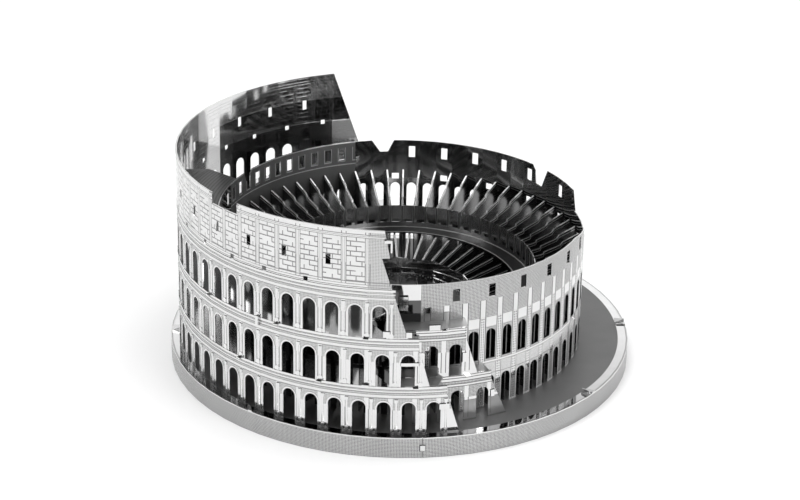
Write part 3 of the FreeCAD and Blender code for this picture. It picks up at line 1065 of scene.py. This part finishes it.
def arch_moulding(width: float, rise: float, clear: float, rim: float, proud: float,
                  steps: int = 14) -> Solids:
    """Template of a raised band round an arch, standing on the sill.

    Args:
        width: clear width of the arch.
        rise: sill to crown.
        clear: how far the band stays off the opening.
        rim: how far it reaches from the opening.
        proud: how far it stands out, towards -Y.
        steps: chords in the half circle.

    Returns:
        The template.
    """
    solids = Solids()
    spring = rise - width / 2

    def outline(grow: float) -> list[tuple[float, float]]:
        """Arch line grown outward.

        Args:
            grow: by how much.

        Returns:
            Its points, across and up.
        """
        r = width / 2 + grow
        turn = [(r * math.cos(math.pi * k / steps), spring + r * math.sin(math.pi * k / steps))
                for k in range(steps + 1)]
        return [(r, 0.0)] + turn + [(-r, 0.0)]

    inner, outer = outline(clear), outline(rim)
    for k in range(len(inner) - 1):
        corners = (inner[k], outer[k], outer[k + 1], inner[k + 1])
        front = [Vector((x, -proud, z)) for x, z in corners]
        back = [Vector((x, SUNK, z)) for x, z in corners]
        solids.prism(back, front)
    return solids


def wall_turn(normal: Vector) -> float:
    """Turn about Z that brings a template's -Y to a normal."""
    return math.atan2(normal.y, normal.x) + math.pi / 2


# --------------------------------------------------------------------------- sub-assemblies
@dataclass
class Finishes:
    """Every material of the model, made once."""

    made: dict[str, bpy.types.Material] = field(default_factory=dict)

    def add(self, finish: Steel | PlateFinish) -> None:
        """Make a finish's material and keep it by name."""
        self.made[finish.name] = finish.material()

    def __getitem__(self, name: str) -> bpy.types.Material:
        """A material by its finish name."""
        return self.made[name]


@dataclass
class Plinth:
    """Base plate and skirt."""

    skirts: tuple[str, ...] = ("skirt_back", "skirt_left", "skirt_front")

    def build(self, finishes: Finishes) -> None:
        """Dress the plinth.

        Args:
            finishes: the model's finishes.
        """
        dress("base_plate", finishes["plinth_plate"])
        for node in self.skirts:
            dress(node, finishes["skirt_sheet"])


@dataclass
class OuterWall:
    """Four-storey facade with its mouldings and half columns."""

    inset: float = PLAN.outer_inset
    first: int = -31
    last: int = 3
    arch_width: float = 3.1
    front_arches: tuple[int, ...] = (1, 0, -1)
    fans: tuple[tuple[float, float], ...] = ((0.22, -6.5), (0.28, -4.0), (0.0, 0.0))
    cornice: tuple[tuple[float, float, float], ...] = ((-2.35, -2.0, 0.10), (-1.25, -1.0, 0.08),
                                                       (-0.5, 0.0, 0.16))
    rim: tuple[tuple[float, float, float], ...] = ((-1.75, -1.5, 0.08), (-0.5, 0.0, 0.14))
    low_place: tuple[int, int] = (-9, -7)
    front_limits: tuple[float, ...] = (10.8, 4.3, -1.0)
    back_limits: tuple[float, ...] = (-1.7, -7.7, -14.2)
    rim_limits: tuple[float, float] = (-3.5, -18.7)
    moulding: tuple[float, float, float] = (0.04, 0.38, 0.07)
    arch_clear: float = 3.0
    column_clear: float = 1.5
    column_blocks: tuple[tuple[float, float, float, float], ...] = (
        (0.42, 0.14, 0.1, 1.0), (0.34, 0.17, 1.0, 1.25), (0.36, 0.17, 7.55, 8.1),
        (0.44, 0.2, 8.1, 8.35))
    shaft: tuple[float, float] = (0.26, 0.14)
    shaft_foot: float = 1.25
    shaft_height: float = 6.3
    shaft_chords: int = 6
    least_shift: float = 0.05

    def line(self, k: int) -> float:
        """Angle of fold line k."""
        return PLAN.outer_phase + PLAN.bay / 2 + PLAN.bay * k

    def shift(self, storey: int, k: int) -> float:
        """Sideways shift of an arch.

        Args:
            storey: 0 for the ground storey.
            k: the bay.

        Returns:
            The shift along the wall.
        """
        step, start = self.fans[storey]
        return max(0.0, step * (k - start))

    def floors(self) -> tuple[float, float, float]:
        """Sill levels of the three arcades."""
        return PLAN.plinth_top, PLAN.floor_2, PLAN.floor_3

    def cut_path(self, front_x: float, back_x: float) -> tuple[list[Vector], list[Vector]]:
        """Fold points of the wall's outer face between its two broken ends.

        Args:
            front_x: where the front end stops.
            back_x: where the back end stops.

        Returns:
            Points and outward directions, from the front end to the back.
        """
        path, outs = [], []
        for k in range(self.last, self.first, -1):
            p, q = OVAL.point(self.inset, self.line(k)), OVAL.point(self.inset, self.line(k - 1))
            out = OVAL.outward(self.inset, self.line(k))
            limit = front_x if p.y < 0 else back_x
            if p.x <= limit:
                path.append(p)
                outs.append(out)
            if (p.x - limit) * (q.x - limit) < 0:
                share = (limit - p.x) / (q.x - p.x)
                path.append(p.lerp(q, share))
                outs.append(OVAL.facet(self.inset, self.line(k - 1), self.line(k))[2])
        return path[::-1], outs[::-1]

    def cornices(self, material: bpy.types.Material) -> None:
        """Raised strips over each storey, and along the rim on both sides of its low place.

        Args:
            material: the finish.
        """
        solids = Solids()
        tops = (PLAN.floor_2, PLAN.floor_3, PLAN.attic_foot)
        for top, front_x, back_x in zip(tops, self.front_limits, self.back_limits):
            path, outs = self.cut_path(front_x, back_x)
            for z0, z1, proud in self.cornice:
                solids.band(path, outs, top + z0, top + z1, proud)
        path, outs = self.cut_path(*self.rim_limits)
        stops = [OVAL.point(self.inset, self.line(k)) for k in self.low_place]
        first, second = (min(range(len(path)), key=lambda n, stop=stop: (path[n] - stop).length)
                         for stop in stops)
        for run in (slice(0, first + 1), slice(second, len(path))):
            for z0, z1, proud in self.rim:
                solids.band(path[run], outs[run], PLAN.outer_top + z0, PLAN.outer_top + z1, proud)
        solids.piece("outer_cornices", material)

    def arches(self, material: bpy.types.Material) -> None:
        """Raised bands round the arches.

        Args:
            material: the finish.
        """
        places = []
        for storey, floor in enumerate(self.floors()):
            for k in range(self.first, min(self.last, self.front_arches[storey] + 1)):
                mid, along, out = OVAL.facet(self.inset, self.line(k), self.line(k + 1))
                if mid.y > 0 and mid.x > self.back_limits[storey] - self.arch_clear:
                    continue
                spot = mid + along * self.shift(storey, k) + Vector((0, 0, floor))
                places.append((spot, wall_turn(out)))
        template = arch_moulding(self.arch_width, PLAN.arch_rise, *self.moulding)
        set_copies("outer_arch_bands", template, places, material)

    def column(self) -> Solids:
        """Template of a half column with base and capital.

        Returns:
            The template.
        """
        template = Solids()
        for half, proud, z0, z1 in self.column_blocks:
            template.box((-half, half), (-proud, SUNK), (z0, z1))
        radius, proud = self.shaft
        turns = [math.pi * k / self.shaft_chords for k in range(self.shaft_chords + 1)]
        low = [Vector((radius * math.cos(a), -proud * math.sin(a), self.shaft_foot))
               for a in reversed(turns)]
        template.prism(low, [v + Vector((0, 0, self.shaft_height)) for v in low])
        return template

    def columns(self, material: bpy.types.Material) -> None:
        """Half columns between the arches, turned with the facet they stand on.

        Args:
            material: the finish.
        """
        places = []
        for storey, floor in enumerate(self.floors()):
            for k in range(self.first + 1, self.front_arches[storey] + 2):
                before, here, after = (self.line(k + step) for step in (-1, 0, 1))
                shift = (self.shift(storey, k - 1) + self.shift(storey, k)) / 2
                fold = OVAL.point(self.inset, here)
                _, along, _ = OVAL.facet(self.inset, before, here)
                spot, out = fold + along * shift, OVAL.outward(self.inset, here)
                if spot.y > 0 and spot.x > self.back_limits[storey] - self.column_clear:
                    continue
                if shift > self.least_shift:
                    _, along, out = OVAL.facet(self.inset, here, after)
                    spot = fold + along * shift
                places.append((spot + Vector((0, 0, floor)), wall_turn(out)))
        set_copies("outer_half_columns", self.column(), places, material)

    def build(self, finishes: Finishes) -> None:
        """Dress the sheets and add the raised work.

        Args:
            finishes: the model's finishes.
        """
        for node in ("outer_wall_back", "outer_wall_side", "outer_wall_front"):
            dress(node, finishes["facade_sheet"])
        self.cornices(finishes["raised_steel"])
        self.arches(finishes["raised_steel"])
        self.columns(finishes["raised_steel"])
        dress("wall_tabs", finishes["tab_steel"])


@dataclass
class InnerWall:
    """Two-storey inner ring."""

    sheets: tuple[str, ...] = ("right", "back", "back_left", "left", "front_left")

    def build(self, finishes: Finishes) -> None:
        """Dress the sheets."""
        for sheet in self.sheets:
            dress("inner_wall_" + sheet, finishes["inner_" + sheet])


@dataclass
class MiddleWall:
    """Short two-storey wall between the rings."""

    def build(self, finishes: Finishes) -> None:
        """Dress the sheet."""
        dress("middle_wall", finishes["middle_sheet"])


@dataclass
class Floors:
    """Gallery floors, terraces and roof."""

    def build(self, finishes: Finishes) -> None:
        """Dress the level sheets.

        Args:
            finishes: the model's finishes.
        """
        for node in ("gallery_floor_second", "gallery_floor_third"):
            dress(node, finishes["floor_sheet"])
        for node in ("terrace_outer", "terrace_lower", "terrace_upper"):
            dress(node, finishes["terrace_sheet"])
        dress("gallery_roof", finishes["roof_sheet"])


@dataclass
class Seating:
    """Ribs, podium wall, walkway and arena."""

    sheet: float = PLAN.sheet
    rib_inset: float = 12.37
    rib_phase: float = 89.6
    ribs: int = 64
    rib_top: float = 28.7
    steps: tuple[tuple[float, float], ...] = ((0.2, 0.0), (4.1, 2.1), (4.7, 3.0), (8.7, 4.8),
                                              (8.9, 5.4), (11.5, 6.2))
    nose_foot: float = 17.72
    lower_start: float = 24.0
    lower_phase: float = 93.3
    lower_ribs: int = 48
    lower_steps: tuple[tuple[float, float], ...] = ((4.3, 15.85), (13.2, 12.8))
    walk_edges: tuple[float, float] = (23.8, 27.7)
    rim_band: tuple[float, float, float] = (-0.05, 0.12, 0.16)
    boss_inset: float = 39.6 + PLAN.sheet
    boss_heights: tuple[float, ...] = (8.9, 9.3, 9.3)
    boss_count: int = 144
    boss_size: tuple[float, float] = (0.16, 0.06)
    # edge_highlight_drop and edge_highlight_proud place the painted highlight under the rib's top
    # edge; line_drop and line_proud the etched line below it.
    line_drop: float = 0.75
    edge_highlight_drop: float = 0.12
    edge_highlight_proud: float = 0.07
    line_width: float = 0.15
    line_proud: float = 0.04

    def strip(self, solids: Solids, points: list[tuple[float, float]], proud: float) -> None:
        """Add a raised line through a rib.

        Args:
            solids: what it is added to.
            points: reach and height of each corner of the line.
            proud: how far it stands out on both faces.
        """
        half = self.sheet / 2 + proud
        for (y0, z0), (y1, z1) in zip(points, points[1:]):
            run = Vector((0, y1 - y0, z1 - z0)).normalized()
            rise = Vector((0, -run.z, run.y)) * (self.line_width / 2)
            low = [Vector((-half, y0, z0)) + rise, Vector((-half, y1, z1)) + rise,
                   Vector((-half, y1, z1)) - rise, Vector((-half, y0, z0)) - rise]
            solids.prism(low, [v + Vector((2 * half, 0, 0)) for v in low])

    def rib_lines(self, finish: bpy.types.Material) -> None:
        """Raised bright lines along the stepped edge of every rib, on both faces: painted highlight
        at the edge, an etched line below.

        Args:
            finish: the lines' material.
        """
        upper = [(y, self.rib_top - drop) for y, drop in self.steps]
        reach, height = upper[-1]
        nose = [(reach, height - self.edge_highlight_drop), (reach, self.nose_foot)]
        rows = (("rib_lines_upper", upper, nose, self.rib_inset, self.rib_phase, self.ribs),
                ("rib_lines_lower", self.lower_steps, [], self.lower_start, self.lower_phase,
                 self.lower_ribs))
        # First the painted highlight under the top edge, then the etched line; the nose strip is
        # painted highlight too.
        lines = ((self.edge_highlight_drop, self.edge_highlight_proud), (self.line_drop, self.line_proud))
        for name, points, end, inset, phase, count in rows:
            template = Solids()
            for drop, proud in lines:
                self.strip(template, [(y, z - drop) for y, z in points], proud)
            self.strip(template, end, self.edge_highlight_proud)
            angles = [phase + 360.0 / count * k for k in range(count)]
            places = [(OVAL.point(inset, a), wall_turn(OVAL.outward(inset, a))) for a in angles]
            set_copies(name, template, places, finish)

    def rims(self, finish: bpy.types.Material) -> None:
        """Bright rolled edges of the walkway.

        Args:
            finish: the edges' material.
        """
        solids = Solids()
        angles = [self.rib_phase + PLAN.bay * k for k in range(self.ribs + 1)]
        z0, z1, proud = self.rim_band
        for inset in self.walk_edges:
            path = [OVAL.point(inset, a) for a in angles]
            outs = [OVAL.outward(inset, a) for a in angles]
            solids.band(path, outs, PLAN.floor_2 + z0, PLAN.floor_2 + z1, proud)
        solids.piece("walkway_rims", finish)

    def bosses(self, finish: bpy.types.Material) -> None:
        """Row of small bosses round the cell ring, every third one lower.

        Args:
            finish: the bosses' material.
        """
        template = Solids()
        half, proud = self.boss_size
        template.box((-half, half), (-proud, SUNK), (-half, half))
        places = []
        for k in range(self.boss_count):
            angle = 360.0 / self.boss_count * k
            z = self.boss_heights[k % len(self.boss_heights)]
            inward = OVAL.outward(self.boss_inset, angle) * -1
            places.append((OVAL.point(self.boss_inset, angle, z), wall_turn(inward)))
        set_copies("cell_ring_bosses", template, places, finish)

    def build(self, finishes: Finishes) -> None:
        """Dress the bowl and add its lines and rims.

        Args:
            finishes: the model's finishes.
        """
        kinds = {"seat_ribs": "rib_sheet", "lower_ribs": "rib_sheet", "cell_walls": "rib_sheet",
                 "podium_wall": "podium_sheet", "walkway": "walkway_sheet",
                 "arena_wall": "arena_sheet", "cell_ring": "arena_sheet"}
        for start, finish in kinds.items():
            for node in NODES:
                if node.startswith(start):
                    dress(node, finishes[finish])
        self.rib_lines(finishes["rib_line"])
        self.rims(finishes["rib_line"])
        self.bosses(finishes["rib_line"])


@dataclass(frozen=True)
class Tongue:
    """A folded tab: where it sits and how large it is."""

    inset: float
    angle: float
    z: float
    width: float
    height: float
    proud: float = 0.3


@dataclass
class Tabs:
    """Folded and twisted tabs, with dark plates round them as painted shade in the slots they come
    through.
    """

    tongues: tuple[Tongue, ...] = (
        Tongue(2.2, 272.5, 22.0, 4.0, 0.75), Tongue(2.2, 280.75, 11.5, 2.3, 1.3),
        Tongue(2.2, 267.0, 29.1, 1.5, 1.4), Tongue(2.2, 272.2, 29.1, 1.3, 1.3),
        Tongue(7.1, 279.0, 28.6, 2.5, 1.2), Tongue(7.1, 287.0, 20.75, 0.9, 2.2),
        Tongue(7.1, 295.25, 10.75, 0.9, 1.6), Tongue(2.2, 267.2, 51.0, 1.7, 0.6, 0.6),
        Tongue(2.2, 267.9, 49.6, 0.4, 2.2, 0.5), Tongue(12.0, 271.0, 32.6, 2.0, 3.3, 0.6),
        Tongue(2.2, 234.5, 27.3, 0.8, 2.2, 0.7), Tongue(2.2, 262.3, 16.6, 1.6, 0.5, 0.8))
    ears: tuple[float, ...] = (4.2, 68.0, 128.0, 184.5, 322.0)
    ear_size: tuple[float, float, float] = (0.28, 2.4, 0.95)
    ear_set: float = 0.15
    ear_root: float = 0.1
    plate_root: float = 0.1
    slot_margin: float = 0.07
    slot_proud: float = 0.05
    clasp: Tongue = Tongue(0.0, 275.6, 2.5, 1.1, 1.3, 0.25)
    clasp_margin: float = 0.12

    def plate(self, solids: Solids, tongue: Tongue, grow: float, proud: float) -> None:
        """Add one small plate on a wall.

        Args:
            solids: what it is added to.
            tongue: the plate's place and size.
            grow: margin added all round.
            proud: how far it stands out.
        """
        out = OVAL.outward(tongue.inset, tongue.angle)
        side = Vector((-out.y, out.x, 0))
        half, tall = tongue.width / 2 + grow, tongue.height / 2 + grow
        spot = OVAL.point(tongue.inset, tongue.angle, tongue.z) - out * self.plate_root
        back = [spot + side * u + Vector((0, 0, v)) for u, v in
                ((-half, -tall), (half, -tall), (half, tall), (-half, tall))]
        solids.prism(back, [v + out * (proud + self.plate_root) for v in back])

    def ear(self) -> Solids:
        """Template of an ear: a short twisted tongue standing on the plinth.

        Returns:
            The template.
        """
        width, length, height = self.ear_size
        half, root = width / 2, self.ear_root
        low = [Vector((-half, 0.0, -root)), Vector((half, 0.0, -root)),
               Vector((half, length, -root)), Vector((-half, length, -root))]
        template = Solids()
        template.prism(low, [v + Vector((width if v.y else -width, 0, height + root))
                             for v in low])
        return template

    def build(self, finishes: Finishes) -> None:
        """Add the tabs, dark plates as painted shade in their slots, the ears on the plinth and the
        skirt's clasp.

        Args:
            finishes: the model's finishes.
        """
        tabs, slots = Solids(), Solids()
        margins = [(tongue, self.slot_margin) for tongue in self.tongues]
        for tongue, margin in margins + [(self.clasp, self.clasp_margin)]:
            self.plate(tabs, tongue, 0.0, tongue.proud)
            # A dark plate round each tab: painted shade in its slot.
            self.plate(slots, tongue, margin, self.slot_proud)
        tabs.piece("folded_tabs", finishes["tab_steel"])
        slots.piece("tab_slots", finishes["slot_dark"])
        places = [(OVAL.point(self.ear_set, a, PLAN.plinth_top), wall_turn(OVAL.outward(0.0, a)))
                  for a in self.ears]
        set_copies("plinth_ears", self.ear(), places, finishes["tab_steel"])


# --------------------------------------------------------------------------- studio
@dataclass(frozen=True)
class Panel:
    """A soft panel light: where it hangs, in metres, how large and how strong it is."""

    name: str
    place: tuple[float, float, float]
    size: tuple[float, float]
    watts: float


@dataclass
class Studio:
    """Table, lights and camera."""

    distance: float = 520.96
    elevation: float = 21.177
    target: tuple[float, float, float] = (-0.214, 0.0, 25.222)
    lens: float = 94.6
    sensor: float = 36.0
    clip: tuple[float, float] = (0.01, 20.0)
    roll: float = 0.956
    table: float = 6.0
    table_white: float = 0.95
    table_rough: float = 0.9
    table_shine: float = 0.1
    backdrop_height: float = 0.34
    backdrop_lean: float = 0.16
    backdrop_blur: float = 0.1
    ceiling_edge: float = 0.78
    ceiling_light: float = 2.75
    room_light: float = 0.05
    panels: tuple[Panel, ...] = (Panel("key", (-0.75, -0.55, 1.1), (0.7, 0.7), 4.0),
                                 Panel("side", (0.85, -0.75, 0.55), (0.6, 0.4), 3.5))
    panel_aim: tuple[float, float, float] = (0.0, 0.0, 0.02)

    def aim(self, thing: bpy.types.Object, place: Vector, goal: Vector, roll: float = 0.0,
            unit: float = 1.0) -> None:
        """Put an object at a place and turn its -Z to a goal.

        Args:
            thing: the camera or light.
            place: where it goes.
            goal: what it faces.
            roll: turn about its own axis in degrees.
            unit: length of the unit of place and goal, in metres.
        """
        look = (goal - place).to_track_quat("-Z", "Y").to_matrix().to_4x4()
        turn = Matrix.Rotation(math.radians(roll), 4, "Z")
        thing.matrix_world = Matrix.Translation(place * unit) @ look @ turn

    def camera(self) -> None:
        """Place the camera in front of the broken end, a little above the rim."""
        tilt = math.radians(self.elevation)
        goal = Vector(self.target)
        place = goal + Vector((0, -math.cos(tilt), math.sin(tilt))) * self.distance
        data = bpy.data.cameras.new("camera")
        data.lens = self.lens
        data.sensor_width = self.sensor
        data.clip_start, data.clip_end = self.clip
        camera = add_object("camera", data)
        self.aim(camera, place, goal, self.roll, MM)
        bpy.context.scene.camera = camera

    def lights(self) -> None:
        """Hang the soft panel lights, all facing the model."""
        for panel in self.panels:
            data = bpy.data.lights.new(panel.name, "AREA")
            data.shape = "RECTANGLE"
            data.size, data.size_y = panel.size
            data.energy = panel.watts
            self.aim(add_object(panel.name, data), Vector(panel.place), Vector(self.panel_aim))

    def set_table(self) -> None:
        """Lay the white table."""
        half = self.table / 2
        data = bpy.data.meshes.new("table")
        data.from_pydata([(-half, -half, 0), (half, -half, 0), (half, half, 0), (-half, half, 0)],
                         [], [(0, 1, 2, 3)])
        paint = bpy.data.materials.new("table_white")
        paint.use_nodes = True
        bsdf = paint.node_tree.nodes["Principled BSDF"]
        bsdf.inputs["Base Color"].default_value = (*[self.table_white] * 3, 1)
        bsdf.inputs["Roughness"].default_value = self.table_rough
        bsdf.inputs["Specular IOR Level"].default_value = self.table_shine
        data.materials.append(paint)
        add_object("table", data)

    def room(self) -> None:
        """Dim room with a low white backdrop all round and a bright ceiling."""
        world = bpy.data.worlds.new("room")
        bpy.context.scene.world = world
        world.use_nodes = True
        tree = world.node_tree
        background = tree.nodes["Background"]
        _, back, up = axes(tree, "Generated")
        limit = back * self.backdrop_lean + self.backdrop_height
        backdrop = ((limit - up) / self.backdrop_blur).op("MAXIMUM", 0.0).op("MINIMUM", 1.0)
        ceiling = ((up - self.ceiling_edge) / self.backdrop_blur).op("MAXIMUM", 0.0)
        glow = backdrop + ceiling.op("MINIMUM", 1.0) * self.ceiling_light + self.room_light
        tree.links.new(glow.socket, background.inputs["Color"])
        background.inputs["Strength"].default_value = 1.0

    def build(self) -> None:
        """Set the table, the room, the lights and the camera."""
        self.set_table()
        self.room()
        self.lights()
        bpy.context.scene.view_settings.view_transform = "Standard"
        self.camera()


def make_finishes() -> Finishes:
    """Every finish of the model.

    Returns:
        The finishes, each with its material made.
    """
    finishes = Finishes()
    plan = PLAN
    left = {"trim": Trim.INNER, "inset": plan.inner_inset, "phase": plan.left_phase,
            "pitch": plan.left_pitch}
    for finish in (
            # The facade sheet carries the painted reflection inside its back end.
            Steel("facade_sheet", Trim.FACADE, plan.outer_inset, plan.outer_phase - plan.bay / 2,
                  matte=0.4, etched=0.37, line_shade=0.25, painted_reflection=True),
            Steel("middle_sheet", Trim.FACADE, plan.middle_inset, plan.middle_phase,
                  plan.middle_pitch, etched=0.28, matte_below=10.0, line_shade=0.3),
            # Painted light on its low etched parts, which are also made less metallic.
            Steel("inner_right", Trim.INNER, plan.inner_inset, plan.right_phase,
                  etched=0.25, matte_below=5.4, soft_and_painted_light_below=16.3),
            Steel("inner_back", Trim.INNER, plan.inner_inset, plan.back_phase, etched=0.27),
            Steel("inner_left", etched=0.27, **left),
            Steel("inner_back_left", etched=0.33, inside_matte=True, **left),
            # Painted shade on its outer face, low down and in the last bays.
            Steel("inner_front_left", shade_below=33.2, **(left | {"trim": Trim.PLAIN})),
            Steel("skirt_sheet", Trim.SKIRT, etched=0.24, matte=0.45, smoothing=1.0),
            Steel("raised_steel", polish=0.18, smoothing=0.0),
            Steel("tab_steel", polish=0.12, smoothing=0.0),
            Steel("rib_sheet", polished=0.17, polish=0.27, smoothing=0.0),
            Steel("rib_line", polished=0.72, polish=0.42, smoothing=0.0),
            # Painted shade in the tab slots.
            Steel("slot_dark", polished=0.03, polish=0.4, smoothing=0.0),
            Steel("podium_sheet", Trim.PLAIN, plan.podium_inset, polished=0.5, polish=0.14),
            Steel("arena_sheet", Trim.ARENA, plan.arena_inset, etched=0.2),
            PlateFinish("plinth_plate", 2.45, etched=0.27),
            PlateFinish("walkway_sheet", 0.0, etched=0.1, matte=0.3),
            PlateFinish("terrace_sheet", 0.0, etched=0.42, matte=0.45),
            PlateFinish("floor_sheet", 30.0, polished=0.75, polish=0.12),
            PlateFinish("roof_sheet", 0.0, etched=0.22, matte=0.35, rows=0.9)):
        finishes.add(finish)
    return finishes


def main() -> None:
    """Build the model's looks in order."""
    finishes = make_finishes()
    for part in (Plinth(), OuterWall(), MiddleWall(), InnerWall(), Floors(), Seating(), Tabs()):
        part.build(finishes)
        LOG.info("%s dressed", type(part).__name__)
    Studio().build()


if __name__ == "__main__":
    main()
